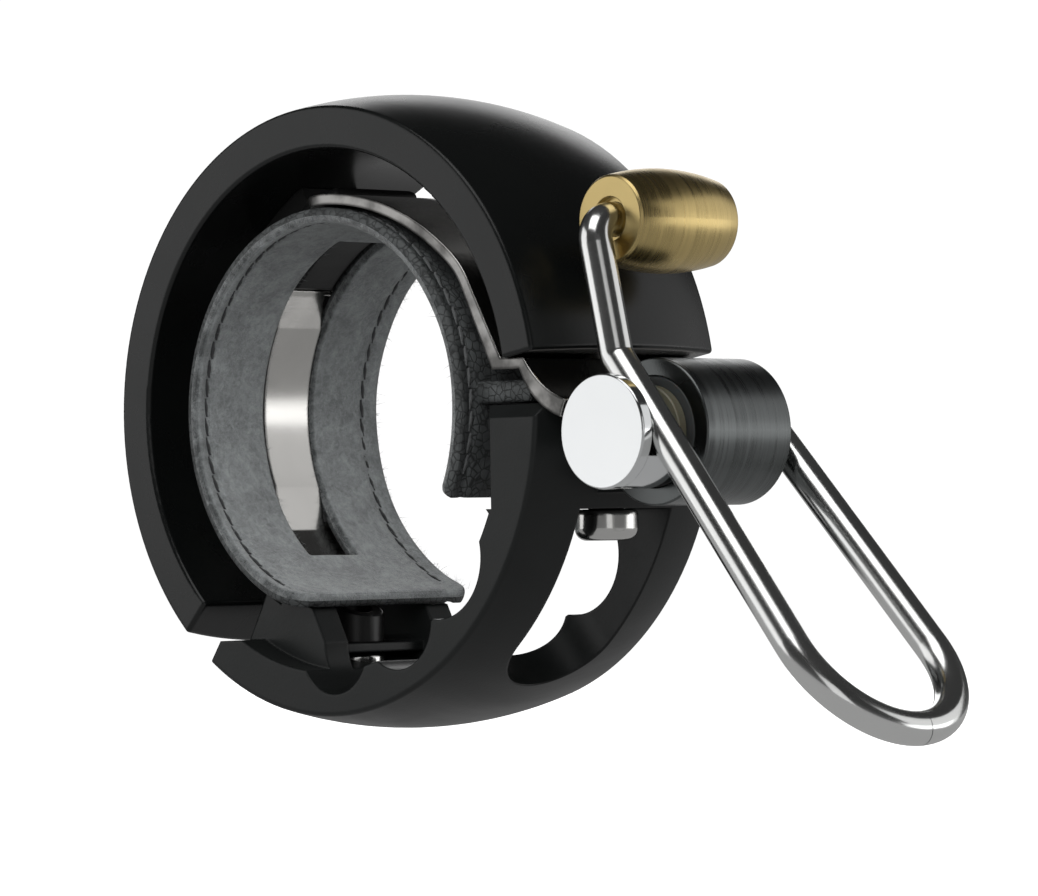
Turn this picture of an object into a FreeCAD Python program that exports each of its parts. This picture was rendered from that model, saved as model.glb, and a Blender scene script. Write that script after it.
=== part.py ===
import FreeCAD, Part
import math
import os
import re
import Sketcher

# Hoop bicycle bell for a 31.8 mm handlebar, in millimetres.
# The origin is the centre of the handlebar bore, half way across the bell.
# Y runs along the handlebar, +Z is up, +X points at the striker lever.

DIMENSIONS = {
    # bell ring, a crowned hoop open at the lower right
    "bell_width": 21.6,
    "ring_bore": 22.24,
    "ring_face": 25.78,
    "ring_crest": 27.18,
    "ring_start_angle": 9.4,
    "ring_end_angle": 227,
    "ring_edge": 0.35,
    "hole_in_ring": 2.4,
    # handlebar liner
    "bar_radius": 15.9,
    "liner_outer": 17.2,
    "liner_width": 21.7,
    "liner_start": -27,
    "liner_end": 257,
    "slot_width": 5.45,
    "slot_start": 112,
    "slot_end": 229.5,
    "tab_bottom": 0.1,
    "tab_top": 1.95,
    "tab_reach": 23.5,
    "tab_half": 9,
    "notch_half": 3.5,
    "notch_start": 18.4,
    # clamp band of sheet steel
    "band_inner": 17.45,
    "band_thick": 0.9,
    "band_half": 10.4,
    "band_end": 242,
    "band_rise": 24.7,
    "band_rise_end": 50,
    "band_turn": 8,
    "band_turn_end": 30.5,
    "kink_left": 21.45,
    "kink_right": 24.1,
    "kink_top": 3.7,
    "tongue_top_radius": 8.6,
    "tongue_top_x": 31.3,
    "tongue_top_z": 8.35,
    "tongue_low_radius": 7.36,
    "tongue_low_x": 30.3,
    "tongue_low_z": 5.75,
    "tongue_end": 29.1,
    "strap_start": 105.5,
    "strap_end": 245,
    "strap_half": 4.7,
    "strap_shoulder": 5.5,
    "dip_inner": 16.2,
    "dip_start": 142.5,
    "dip_top": 152,
    "dip_low": 203,
    "dip_end": 215,
    "dip_half": 2.6,
    "window_low": 141,
    "window_high": 111,
    "window_half": 3.6,
    # mount that carries the ring
    "mount_angle": 126,
    "saddle_inner": 18.4,
    "saddle_outer": 20,
    "saddle_half": 4.7,
    "saddle_reach": 24,
    "tower_half": 3.3,
    "tower_reach": 9,
    "plug_half": 3.4,
    "plug_inner": 17.45,
    "plug_reach": 14.4,
    "cover_face": 16.5,
    "cover_half": 2.6,
    "cover_reach": 13.6,
    "head_seat": 19.2,
    # bracket
    "bracket_bore": 22.1,
    "block_top": -0.1,
    "block_inner": 19.4,
    "block_foot": -9.2,
    "block_bevel": 1.1,
    "port_top": -8.7,
    "port_half": 5.4,
    "port_angle": -48,
    "rib_front": 8,
    "rib_back": 5.3,
    "rib_start": 236.4,
    "rib_end": 255.2,
    "web_top": -19.9,
    "web_bottom": -20.7,
    "web_left": -12.4,
    "web_right": -4.7,
    "groove_upper_radius": 5.2,
    "groove_middle_radius": 4.24,
    "groove_lower_radius": 4.1,
    # screws, M3
    "shank_radius": 1.5,
    "hole_radius": 1.65,
    "clamp_x": 23.1,
    "anchor_x": -7.8,
    "boss_radius": 2.5,
    "head_radius": 2.65,
    "head_height": 2.6,
    "bell_head_height": 1.7,
    "bell_screw_length": 5.2,
    "clamp_screw_length": 11.6,
    "anchor_screw_length": 3.3,
    "socket_flats": 2,
    "thread_gap": 0.02,
    # two small screws that hold the spring housing
    "screw_front": -3.1,
    "screw_rear": 3.5,
    "small_head_radius": 1.9,
    "small_head_height": 1.2,
    "small_shank_radius": 0.98,
    "small_shank_length": 7.0,
    "small_seat_x": 21.35,
    # pivot of the striker lever
    "pivot_x": 33.04,
    "pivot_z": -2.6,
    "cap_radius": 4.65,
    "cap_front": -10.55,
    "cap_back": -9.45,
    "pin_radius": 1.75,
    "hub_back": -5.5,
    "housing_radius": 6.0,
    "housing_front": -4.5,
    "housing_back": 5.5,
    "housing_bore": 4.55,
    "rear_bush_radius": 2.58,
    "collar_front": 5.85,
    "collar_back": 8.2,
    "collar_radius": 3.3,
    "washer_radius": 3.75,
    "running": 0.05,
    # striker lever of round wire and its brass hammer
    "wire_radius": 1.39,
    "near_leg_angle": -50.1,
    "near_leg_offset": 3.27,
    "near_leg_side": -7.95,
    "far_leg_angle": -47.15,
    "far_leg_offset": 1.42,
    "far_leg_side": 7.6,
    "leg_length": 33.7,
    "hammer_x": 29.72,
    "hammer_z": 14.75,
    "hammer_length": 11.6,
    "hammer_end": 3.65,
    "hammer_crest": 4.36,
    # return spring
    "spring_radius": 3.2,
    "spring_wire": 0.35,
    "spring_turns": 4,
    "spring_pitch": 1.1,
}

# Places that several pieces share, as words over the sheet's cells.
CROWN_CENTRE = (
    "ring_crest - ((bell_width / 2)^2 + (ring_crest - ring_face)^2)"
    " / (2 * (ring_crest - ring_face))"
)
BAND_OUTER = "(band_inner + band_thick)"
TONGUE_TOP_CENTRE = ("tongue_top_x", "tongue_top_z")
TONGUE_LOW_CENTRE = ("tongue_low_x", "tongue_low_z")
SMALL_SCREWS = {"front": "screw_front", "rear": "screw_rear"}
# Lower outline of the bracket between the web and the anchored end of the band.
RIB_TAIL = [
    ("0 - 1.35", "0 - 22.7"),
    ("0 - 3.0", "0 - 23.4"),
    ("0 - 12.6", "0 - 20.4"),
    ("0 - 12.53", "0 - 19.5"),
]
# Centres of the round cable grooves under the bar.
GROOVES = {
    "upper": ("13.95", "0 - 12.43"),
    "middle": ("8.92", "0 - 17.58"),
    "lower": ("1.18", "0 - 19.86"),
}
# Left outline of what is cut from the bracket's wall.
WALL_CUT = [
    ("0 - 9.9", "0 - 19.4"),
    ("0 - 13.2", "0 - 19.5"),
    ("0 - 20.4", "0 - 29.7"),
    ("0 - 50", "0 - 29.7"),
]

doc = FreeCAD.newDocument("bell")
sheet = doc.addObject("Spreadsheet::Sheet", "Sheet")
sheet.Label = "Dimensions"


def fill_sheet():
    for row, (alias, number) in enumerate(DIMENSIONS.items(), start=1):
        sheet.set(f"A{row}", alias)
        sheet.set(f"B{row}", str(number))
        sheet.setAlias(f"B{row}", alias)
    doc.recompute()


def bind(words):
    """Expression in which each alias names its cell of the sheet."""
    words = re.sub(r"[a-z]+(?:_[a-z]+)+|running", lambda m: "Sheet." + m.group(0), str(words))
    return "0 + " + words


def size(words):
    """Value of an expression over the sheet."""
    return float(sheet.evalExpression(bind(words)))


def polar(radius, angle):
    """Corner at a radius and angle about the bore's centre."""
    return (f"({radius}) * cos({angle})", f"({radius}) * sin({angle})")


# ---------------------------------------------------------------- sketches


def new_body(name):
    body = doc.addObject("PartDesign::Body", name)
    body.Label = name
    return body


def new_sketch(body, name, role, offset="0"):
    """Empty sketch on one of the body's own origin planes, moved along its normal."""
    sketch = body.newObject("Sketcher::SketchObject", name)
    plane = next(f for f in body.Origin.OriginFeatures if f.Role == role)
    sketch.AttachmentSupport = [(plane, "")]
    sketch.MapMode = "FlatFace"
    sketch.setExpression("AttachmentOffset.Base.z", bind(offset))
    return sketch


def pin_value(sketch, kind, geometry, point, words):
    """Dimension of one sketch point or radius, bound to the sheet."""
    value = size(words)
    if point is None:
        index = sketch.addConstraint(Sketcher.Constraint(kind, geometry, value))
    else:
        index = sketch.addConstraint(Sketcher.Constraint(kind, geometry, point, value))
    sketch.setExpression(f"Constraints[{index}]", bind(words))


def pin_corner(sketch, geometry, point, corner):
    pin_value(sketch, "DistanceX", geometry, point, corner[0])
    pin_value(sketch, "DistanceY", geometry, point, corner[1])


def outline(sketch, start, steps):
    """Closed outline: each step is ("line", corner) or ("arc", centre, corner, turn), and
    the outline closes with a straight line. turn is 1 anticlockwise, -1 clockwise."""
    place = start
    first = None
    last = None
    for step in steps + [("line", start)]:
        corner = step[1] if step[0] == "line" else step[2]
        tail = FreeCAD.Vector(size(place[0]), size(place[1]), 0)
        tip = FreeCAD.Vector(size(corner[0]), size(corner[1]), 0)
        if step[0] == "line":
            edge = sketch.addGeometry(Part.LineSegment(tail, tip), False)
            ends = (1, 2)
        else:
            centre = FreeCAD.Vector(size(step[1][0]), size(step[1][1]), 0)
            angles = [math.atan2((p - centre).y, (p - centre).x) for p in (tail, tip)]
            ends = (1, 2) if step[3] > 0 else (2, 1)
            if step[3] < 0:
                angles.reverse()
            circle = Part.Circle(centre, FreeCAD.Vector(0, 0, 1), (tail - centre).Length)
            edge = sketch.addGeometry(Part.ArcOfCircle(circle, angles[0], angles[1]), False)
        if first is None:
            first = (edge, ends[0])
            pin_corner(sketch, edge, ends[0], start)
        else:
            sketch.addConstraint(Sketcher.Constraint("Coincident", last[0], last[1], edge, ends[0]))
        if step[0] == "arc":
            pin_corner(sketch, edge, 3, step[1])
            across = abs((tip - centre).x) > abs((tip - centre).y)
            pin_value(sketch, "DistanceY" if across else "DistanceX", edge, ends[1],
                      corner[1] if across else corner[0])
        elif corner is not start:
            pin_corner(sketch, edge, ends[1], corner)
        place = corner
        last = (edge, ends[1])
    sketch.addConstraint(Sketcher.Constraint("Coincident", last[0], last[1], first[0], first[1]))


def circle(sketch, centre, radius):
    middle = FreeCAD.Vector(size(centre[0]), size(centre[1]), 0)
    shape = Part.Circle(middle, FreeCAD.Vector(0, 0, 1), size(radius))
    edge = sketch.addGeometry(shape, False)
    pin_value(sketch, "Radius", edge, None, radius)
    pin_corner(sketch, edge, 3, centre)


def rectangle(sketch, low, high):
    outline(sketch, (low[0], low[1]), [
        ("line", (high[0], low[1])),
        ("line", (high[0], high[1])),
        ("line", (low[0], high[1])),
    ])


# ---------------------------------------------------------------- features


def slab(body, name, front, back, draw):
    """Pad between two places along Y of what draw puts in an XZ sketch."""
    sketch = new_sketch(body, name + "_outline", "XZ_Plane", f"0 - ({back})")
    draw(sketch)
    pad = body.newObject("PartDesign::Pad", name)
    pad.Profile = sketch
    pad.setExpression("Length", bind(f"({back}) - ({front})"))
    doc.recompute()
    return pad


def slot(body, name, front, back, draw):
    """Pocket between two places along Y; it has to take material away."""
    before = body.Shape.Volume
    sketch = new_sketch(body, name + "_outline", "XZ_Plane", f"0 - ({front})")
    draw(sketch)
    pocket = body.newObject("PartDesign::Pocket", name)
    pocket.Profile = sketch
    pocket.setExpression("Length", bind(f"({back}) - ({front})"))
    doc.recompute()
    check_cut(body, name, before)
    return pocket


def facing(angle):
    """Turn about Y that points Z along a radius at an angle from X towards Z."""
    return FreeCAD.Rotation(FreeCAD.Vector(0, 1, 0), 90 - size(angle))


def bore(body, name, role, top, depth, draw, radial=None):
    """Pocket from a level on a plane's normal, or along a radius, down by depth."""
    before = body.Shape.Volume
    sketch = new_sketch(body, name + "_outline", role, top)
    if radial is not None:
        lift = facing(radial).multVec(FreeCAD.Vector(0, 0, size(top)))
        sketch.setExpression("AttachmentOffset.Base.z", None)
        sketch.AttachmentOffset = FreeCAD.Placement(lift, facing(radial))
    draw(sketch)
    pocket = body.newObject("PartDesign::Pocket", name)
    pocket.Profile = sketch
    pocket.setExpression("Length", bind(depth))
    doc.recompute()
    check_cut(body, name, before)
    return pocket


def check_cut(body, name, before):
    if body.Shape.Volume > before - 1e-3:
        raise RuntimeError(f"{name} cuts nothing")


def spun(body, name, role, draw):
    """Full revolution of a sketched profile about the sketch's upright axis."""
    sketch = new_sketch(body, name + "_profile", role)
    draw(sketch)
    turned_solid = body.newObject("PartDesign::Revolution", name)
    turned_solid.Profile = sketch
    turned_solid.ReferenceAxis = (sketch, ["V_Axis"])
    turned_solid.Angle = 360
    doc.recompute()
    return turned_solid


def ease(body, name, radius, wanted, kind="Fillet"):
    """Fillet or chamfer on the tip's edges for which wanted(edge) is true."""
    tip = body.Tip
    picked = [f"Edge{i}" for i, edge in enumerate(tip.Shape.Edges, start=1) if wanted(edge)]
    if not picked:
        raise RuntimeError(f"{name} finds no edge")
    feature = body.newObject("PartDesign::" + kind, name)
    feature.Base = (tip, picked)
    feature.setExpression("Radius" if kind == "Fillet" else "Size", bind(radius))
    doc.recompute()
    return feature


def arc_edge(edge, radius, slack=0.02):
    curve = edge.Curve
    return isinstance(curve, Part.Circle) and abs(curve.Radius - radius) < slack


def on_radial_plane(edge, angle):
    """True if the edge lies in the plane through the bore's axis at an angle."""
    turn = math.radians(angle)
    ends = [vertex.Point for vertex in edge.Vertexes] + [edge.CenterOfMass]
    return all(abs(p.x * math.sin(turn) - p.z * math.cos(turn)) < 1e-4 for p in ends)


def at_pivot(body):
    body.setExpression("Placement.Base.x", bind("pivot_x"))
    body.setExpression("Placement.Base.z", bind("pivot_z"))


def turned_piece(name, profile, role="XY_Plane"):
    """Body turned from a closed list of (radius, place along the axis) corners."""
    body = new_body(name)
    start = profile[0]
    steps = [("line", corner) for corner in profile[1:]]
    spun(body, name + "_turned", role, lambda s: outline(s, start, steps))
    return body


def hexagon(sketch, across):
    """Hexagon of a width across flats, about the sketch's origin."""
    corners = [polar(f"{across} / 2 / cos(30)", str(60 * i)) for i in range(6)]
    outline(sketch, corners[0], [("line", corner) for corner in corners[1:]])


# ---------------------------------------------------------------- bell


def bell_ring():
    """Crowned hoop with a plain bore; a fifth of it is left open."""
    body = new_body("bell_ring")
    half = "bell_width / 2"
    spun(body, "hoop", "XY_Plane", lambda s: outline(s, ("ring_bore", "0 - " + half), [
        ("line", ("ring_face", "0 - " + half)),
        ("arc", (CROWN_CENTRE, "0"), ("ring_face", half), 1),
        ("line", ("ring_bore", half)),
    ]))
    slot(body, "opening", "0 - bell_width", "bell_width", lambda s: outline(s, ("0", "0"), [
        ("line", polar("60", "ring_end_angle")),
        ("line", ("60", "0 - 60")),
        ("line", polar("60", "ring_start_angle")),
    ]))
    rims = (size("ring_face"), size("ring_bore"))
    ends = (size("ring_start_angle"), size("ring_end_angle"))
    ease(body, "soft_edges", "ring_edge", lambda e: any(arc_edge(e, r) for r in rims)
         or any(on_radial_plane(e, angle) for angle in ends))
    bore(body, "screw_hole", "XY_Plane", "ring_bore + hole_in_ring", "hole_in_ring * 2",
         lambda s: circle(s, ("0", "0"), "shank_radius + thread_gap"), "mount_angle")


def sector(sketch, inner, outer, reach):
    """Outline between two radii, the same reach either side of the ring's mount."""
    outline(sketch, polar(inner, f"mount_angle + {reach}"), [
        ("arc", ("0", "0"), polar(inner, f"mount_angle - {reach}"), -1),
        ("line", polar(outer, f"mount_angle - {reach}")),
        ("arc", ("0", "0"), polar(outer, f"mount_angle + {reach}"), 1),
    ])


def bell_saddle():
    """Moulded mount: a pad on the band, a tower under the ring and a plug in the band's window."""
    body = new_body("bell_saddle")

    def across_pad(edge):
        """Straight edges along Y at the pad's two ends."""
        middle = edge.CenterOfMass
        along = abs(edge.tangentAt(edge.FirstParameter).y) > 0.9
        return along and math.hypot(middle.x, middle.z) > size("saddle_outer") - 0.5

    slab(body, "pad", "0 - saddle_half", "saddle_half",
         lambda s: sector(s, "saddle_inner", "saddle_outer", "saddle_reach"))
    ease(body, "pad_rim", "0.7", lambda e: arc_edge(e, size("saddle_outer")) or across_pad(e))
    slab(body, "tower", "0 - tower_half", "tower_half",
         lambda s: sector(s, "saddle_inner", "ring_bore - 0.01", "tower_reach"))
    slab(body, "plug", "0 - plug_half", "plug_half",
         lambda s: sector(s, "plug_inner", "saddle_inner + 0.3", "plug_reach"))
    bore(body, "screw_bore", "XY_Plane", "ring_crest", "ring_crest - bar_radius",
         lambda s: circle(s, ("0", "0"), "hole_radius"), "mount_angle")
    bore(body, "head_bore", "XY_Plane", "head_seat", "head_seat - bar_radius",
         lambda s: circle(s, ("0", "0"), "head_radius + 0.15"), "mount_angle")


def saddle_cover():
    """Bevelled moulded cover over the ring's screw, in the band's window."""
    body = new_body("saddle_cover")
    slab(body, "block", "0 - cover_half", "cover_half",
         lambda s: sector(s, "cover_face", "plug_inner - 0.01", "cover_reach"))
    ends = [size("mount_angle") + turn * size("cover_reach") for turn in (-1, 1)]
    ease(body, "bevel", "0.6", lambda e: arc_edge(e, size("cover_face"))
         or (abs(e.Length - 2 * size("cover_half")) < 1e-3
             and math.hypot(e.CenterOfMass.x, e.CenterOfMass.z) < size("cover_face") + 0.1
             and any(on_radial_plane(e, angle) for angle in ends)), "Chamfer")


def socket_screw(name, head_height, length):
    """Round-headed socket screw, head's underside at the origin, shank up along Z."""
    body = new_body(name)
    spun(body, "blank", "XZ_Plane", lambda s: outline(s, ("0", length), [
        ("line", ("0", f"0 - {head_height}")),
        ("line", ("head_radius - 1", f"0 - {head_height}")),
        ("arc", ("head_radius - 1", f"1 - {head_height}"), ("head_radius", f"1 - {head_height}"), 1),
        ("line", ("head_radius", "0 - 0.5")),
        ("arc", ("head_radius - 0.5", "0 - 0.5"), ("head_radius - 0.5", "0"), 1),
        ("line", ("shank_radius", "0")),
        ("line", ("shank_radius", f"{length} - 0.4")),
        ("line", ("shank_radius - 0.4", length)),
    ]))
    bore(body, "socket", "XY_Plane", f"{head_height} / 2 - {head_height}", head_height,
         lambda s: hexagon(s, "socket_flats"))
    return body


def bell_screw():
    """Screw that holds the ring to its mount from inside the band."""
    body = socket_screw("bell_screw", "bell_head_height", "bell_screw_length")
    turn = facing("mount_angle")
    seat = FreeCAD.Vector(0, 0, size("head_seat"))
    body.Placement = FreeCAD.Placement(turn.multVec(seat), turn)


# ---------------------------------------------------------------- band and liner


def clamp_band():
    """Steel band round the liner; a kink and a curved tongue lead to the pivot."""
    body = new_body("clamp_band")
    rise = ("0", f"{BAND_OUTER} - band_rise")
    reach = "(band_rise - band_turn)"
    turn = (f"{reach} * cos(band_rise_end)",
            f"{BAND_OUTER} - band_rise + {reach} * sin(band_rise_end)")

    def rise_end(thick):
        return (f"(band_rise - {thick}) * cos(band_rise_end)",
                f"{BAND_OUTER} - band_rise + (band_rise - {thick}) * sin(band_rise_end)")

    def turn_end(thick):
        return (f"{turn[0]} + (band_turn - {thick}) * cos(band_turn_end)",
                f"{turn[1]} + (band_turn - {thick}) * sin(band_turn_end)")

    def tongue(side, across):
        """Level of the tongue's top or low face at a place along X."""
        return f"tongue_{side}_z - sqrt(tongue_{side}_radius^2 - (tongue_{side}_x - {across})^2)"

    start = polar("band_inner", "band_end")
    dip_outer = "(dip_inner + band_thick)"
    slab(body, "strip", "0 - band_half", "band_half", lambda s: outline(s, start, [
        ("arc", ("0", "0"), polar("band_inner", "dip_end"), -1),
        ("line", polar("dip_inner", "dip_low")),
        ("arc", ("0", "0"), polar("dip_inner", "dip_top"), -1),
        ("line", polar("band_inner", "dip_start")),
        ("arc", ("0", "0"), ("0", "band_inner"), -1),
        ("arc", rise, rise_end("band_thick"), -1),
        ("arc", turn, turn_end("band_thick"), -1),
        ("line", ("kink_left - 1.0", "kink_top - band_thick")),
        ("line", ("kink_right - 0.5", "kink_top - band_thick")),
        ("arc", TONGUE_LOW_CENTRE, ("tongue_end", tongue("low", "tongue_end")), 1),
        ("line", ("tongue_end", tongue("top", "tongue_end"))),
        ("arc", TONGUE_TOP_CENTRE, ("kink_right", tongue("top", "kink_right")), -1),
        ("line", ("kink_left", "kink_top")),
        ("line", turn_end("0")),
        ("arc", turn, rise_end("0"), 1),
        ("arc", rise, ("0", BAND_OUTER), 1),
        ("arc", ("0", "0"), polar(BAND_OUTER, "dip_start"), 1),
        ("line", polar(dip_outer, "dip_top")),
        ("arc", ("0", "0"), polar(dip_outer, "dip_low"), 1),
        ("line", polar(BAND_OUTER, "dip_end")),
        ("arc", ("0", "0"), polar(BAND_OUTER, "band_end"), 1),
    ]))
    for name, half, first, last in (("strap", "strap_half", "strap_start", "strap_end"),
                                    ("dip", "dip_half", "dip_start", "dip_end - 2")):
        middle = f"({first} + {last}) / 2"
        side = [
            ("line", polar("saddle_outer", first)),
            ("line", polar("saddle_outer * 2", middle)),
            ("line", polar("saddle_outer", last)),
            ("line", polar("bar_radius - 1", last)),
            ("line", polar("2", middle)),
        ]
        corner = polar("bar_radius - 1", first)
        slot(body, name + "_front", "0 - bell_width", "0 - " + half, lambda s: outline(s, corner, side))
        slot(body, name + "_rear", half, "bell_width", lambda s: outline(s, corner, side))
    ease(body, "shoulders", "strap_shoulder", lambda e: e.Length < size("band_thick") + 0.05
         and abs(abs(e.CenterOfMass.y) - size("band_half")) < 1e-3
         and on_radial_plane(e, size("strap_start")))
    slot(body, "hub_room", "0 - band_half - 1", "housing_front - 0.25",
         lambda s: circle(s, ("pivot_x", "pivot_z"), "cap_radius + 0.35"))
    slot(body, "housing_room", "housing_front - 0.25", "band_half + 1",
         lambda s: circle(s, ("pivot_x", "pivot_z"), "housing_radius + 0.2"))
    corner = polar("bar_radius", "window_high")
    slot(body, "window", "0 - window_half", "window_half", lambda s: outline(s, corner, [
        ("line", polar("saddle_outer", "window_high")),
        ("line", polar("saddle_outer", "window_low")),
        ("line", polar("bar_radius", "window_low")),
    ]))
    bore(body, "clamp_hole", "XY_Plane", "kink_top + 1", "kink_top + 2",
         lambda s: circle(s, ("clamp_x", "0"), "hole_radius"))
    bore(body, "anchor_hole", "XY_Plane", "0 - 10", "8",
         lambda s: circle(s, ("anchor_x", "0"), "hole_radius"))


def liner():
    """Leather strip round the bar, open at the lower right, with a long slot and two tabs."""
    body = new_body("liner")
    half = "liner_width / 2"
    start = polar("bar_radius", "liner_start")
    slab(body, "strip", "0 - " + half, half, lambda s: outline(s, start, [
        ("line", polar("liner_outer", "liner_start")),
        ("arc", ("0", "0"), polar("liner_outer", "liner_end"), 1),
        ("line", polar("bar_radius", "liner_end")),
        ("arc", ("0", "0"), ("0", "bar_radius"), -1),
        ("arc", ("0", "0"), polar("bar_radius", "0 - 20"), -1),
    ]))
    slab(body, "tab", "0 - tab_half", "tab_half",
         lambda s: rectangle(s, ("liner_outer - 0.5", "tab_bottom"), ("tab_reach", "tab_top")))
    slot(body, "tab_notch", "0 - notch_half", "notch_half",
         lambda s: rectangle(s, ("notch_start", "tab_bottom - 1"), ("tab_reach + 1", "tab_top + 1")))
    middle = "(slot_start + slot_end) / 2"
    start = polar("bar_radius - 1", "slot_start")
    slot(body, "long_slot", "0 - slot_width / 2", "slot_width / 2", lambda s: outline(s, start, [
        ("line", polar("liner_outer + 1", "slot_start")),
        ("line", polar("liner_outer * 2", middle)),
        ("line", polar("liner_outer + 1", "slot_end")),
        ("line", polar("bar_radius - 1", "slot_end")),
        ("line", polar("bar_radius / 3", middle)),
    ]))


# ---------------------------------------------------------------- bracket and clamp hardware


def bracket():
    """Moulded lower half: crowned wall, lever block, cable grooves, two ribs and a port."""
    body = new_body("bracket")
    half = "bell_width / 2"
    spun(body, "wall", "XY_Plane", lambda s: outline(s, ("bracket_bore", "0 - " + half), [
        ("line", ("ring_face", "0 - " + half)),
        ("arc", (CROWN_CENTRE, "0"), ("ring_face", half), 1),
        ("line", ("bracket_bore", half)),
    ]))
    cut = WALL_CUT + [("0 - 50", "40"), ("40", "40"), ("40", "block_top")]
    slot(body, "top_opening", "0 - bell_width", "bell_width",
         lambda s: outline(s, ("0", "block_top"), [("line", corner) for corner in cut]))
    slab(body, "block", "0 - " + half, half, lambda s: outline(s, ("block_inner", "block_top"), [
        ("line", ("block_inner", "block_foot + 1.1")),
        ("line", ("20.6", "block_foot - 0.2")),
        ("line", ("23", "block_foot - 0.2")),
        ("line", ("25", "block_top")),
    ]))
    slab(body, "lug", "0 - 4", "housing_back - 0.6", lambda s: rectangle(
        s, ("24", "0 - 7.4"), ("30.4", "block_top - 0.4")))
    slot(body, "cradle", "0 - 4.6", "housing_back + 6",
         lambda s: circle(s, ("pivot_x", "pivot_z"), "housing_radius + 0.02"))
    slot(body, "tongue_room", "0 - bell_width", "bell_width",
         lambda s: circle(s, TONGUE_LOW_CENTRE, "tongue_low_radius + 0.1"))
    under_band = BAND_OUTER + " + 0.1"
    under_liner = "liner_outer + 0.12"
    rib = [
        ("arc", ("0", "0"), polar(under_band, "band_end + 0.8"), 1),
        ("line", polar(under_liner, "band_end + 0.8")),
        ("arc", ("0", "0"), polar(under_liner, "rib_end"), 1),
    ] + [("line", corner) for corner in RIB_TAIL]
    start = polar(under_band, "rib_start")
    slab(body, "front_rib", "0 - rib_front", "0 - rib_back", lambda s: outline(s, start, rib))
    slab(body, "rear_rib", "rib_back", "rib_front", lambda s: outline(s, start, rib))
    slab(body, "web", "0 - rib_back - 0.5", "rib_back + 0.5", lambda s: rectangle(
        s, ("web_left", "web_bottom"), ("web_right", "web_top")))
    for name, centre in GROOVES.items():
        slot(body, name + "_groove", "0 - bell_width", "bell_width",
             lambda s, c=centre, n=name: circle(s, c, f"groove_{n}_radius"))
    slot(body, "port", "0 - port_half", "port_half", lambda s: outline(s, ("19", "port_top"), [
        ("line", polar("19", "port_angle")),
        ("line", polar("34", "port_angle")),
        ("line", ("34", "port_top")),
    ]))
    bore(body, "port_end", "XY_Plane", "34", "16",
         lambda s: circle(s, ("0", "0"), "port_half"), "port_angle")
    bore(body, "clamp_bore", "XY_Plane", "2", "14",
         lambda s: circle(s, ("clamp_x", "0"), "hole_radius"))
    bore(body, "nut_seat", "XY_Plane", "web_top + 2", "2",
         lambda s: circle(s, ("anchor_x", "0"), "boss_radius + 0.1"))
    bore(body, "web_bore", "XY_Plane", "web_top + 1", "3",
         lambda s: circle(s, ("anchor_x", "0"), "hole_radius"))
    bore(body, "key_access", "XY_Plane", "web_bottom - 0.01", "9",
         lambda s: circle(s, ("anchor_x", "0"), "head_radius + 0.3"))
    for side, place in SMALL_SCREWS.items():
        bore(body, side + "_screw_bore", "YZ_Plane", "29", "10",
             lambda s, p=place: circle(s, (p, "pivot_z"), "small_shank_radius + 0.07"))
        bore(body, side + "_screw_seat", "YZ_Plane", "small_seat_x + 0.05", "3",
             lambda s, p=place: circle(s, (p, "pivot_z"), "small_head_radius + 0.2"))
    return body


def soften_bracket(body):
    """Bevels along the block's top and inner edges, and soft outer rims on the wall."""
    face = "bell_width / 2"
    bevel = "block_bevel"
    for side, sign in (("front", "0 - "), ("rear", "")):
        edge = f"{sign}({face})"
        inside = f"{sign}({face} - {bevel})"
        outside = f"{sign}({face} + 1)"
        over = [
            ("line", (edge, f"block_top - {bevel}")),
            ("line", (outside, f"block_top - {bevel}")),
            ("line", (outside, "block_top + 1")),
            ("line", (inside, "block_top + 1")),
        ]
        beside = [
            ("line", ("block_inner - 1", inside)),
            ("line", ("block_inner - 1", outside)),
            ("line", (f"block_inner + {bevel}", outside)),
            ("line", (f"block_inner + {bevel}", edge)),
        ]
        bore(body, side + "_top_bevel", "YZ_Plane", "34", "15",
             lambda s: outline(s, (inside, "block_top + 0.001"), over))
        bore(body, side + "_inner_bevel", "XY_Plane", "1", "9.6",
             lambda s: outline(s, ("block_inner - 0.001", inside), beside))
    rim = size("ring_face")
    ease(body, "soft_rims", "ring_edge", lambda e: arc_edge(e, rim))


def screw_at(name, place_x, level, length):
    body = socket_screw(name, "head_height", length)
    body.setExpression("Placement.Base.x", bind(place_x))
    body.setExpression("Placement.Base.z", bind(level))
    return body


def clamp_nut():
    """Threaded block welded under the band's kink."""
    body = new_body("clamp_nut")
    slab(body, "block", "0 - 3.1", "3.1", lambda s: outline(s, ("20.75", "0.25"), [
        ("line", ("25.1", "0.25")),
        ("line", ("24.35", "1.15")),
        ("line", ("23.45", "kink_top - band_thick - 0.02")),
        ("line", ("20.75", "kink_top - band_thick - 0.02")),
    ]))
    bore(body, "thread", "XY_Plane", "4", "6",
         lambda s: circle(s, ("clamp_x", "0"), "shank_radius + thread_gap"))


def anchor_nut():
    """Round threaded boss on the band's lower end, trimmed to the band's curve."""
    body = new_body("anchor_nut")
    sketch = new_sketch(body, "boss_outline", "XY_Plane", "web_top + 0.02")
    circle(sketch, ("anchor_x", "0"), "boss_radius")
    pad = body.newObject("PartDesign::Pad", "boss")
    pad.Profile = sketch
    pad.setExpression("Length", bind("6"))
    doc.recompute()
    slot(body, "trim", "0 - 5", "5", lambda s: circle(s, ("0", "0"), BAND_OUTER + " + 0.02"))
    bore(body, "thread", "XY_Plane", "0 - 12", "9",
         lambda s: circle(s, ("anchor_x", "0"), "shank_radius + thread_gap"))


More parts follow.
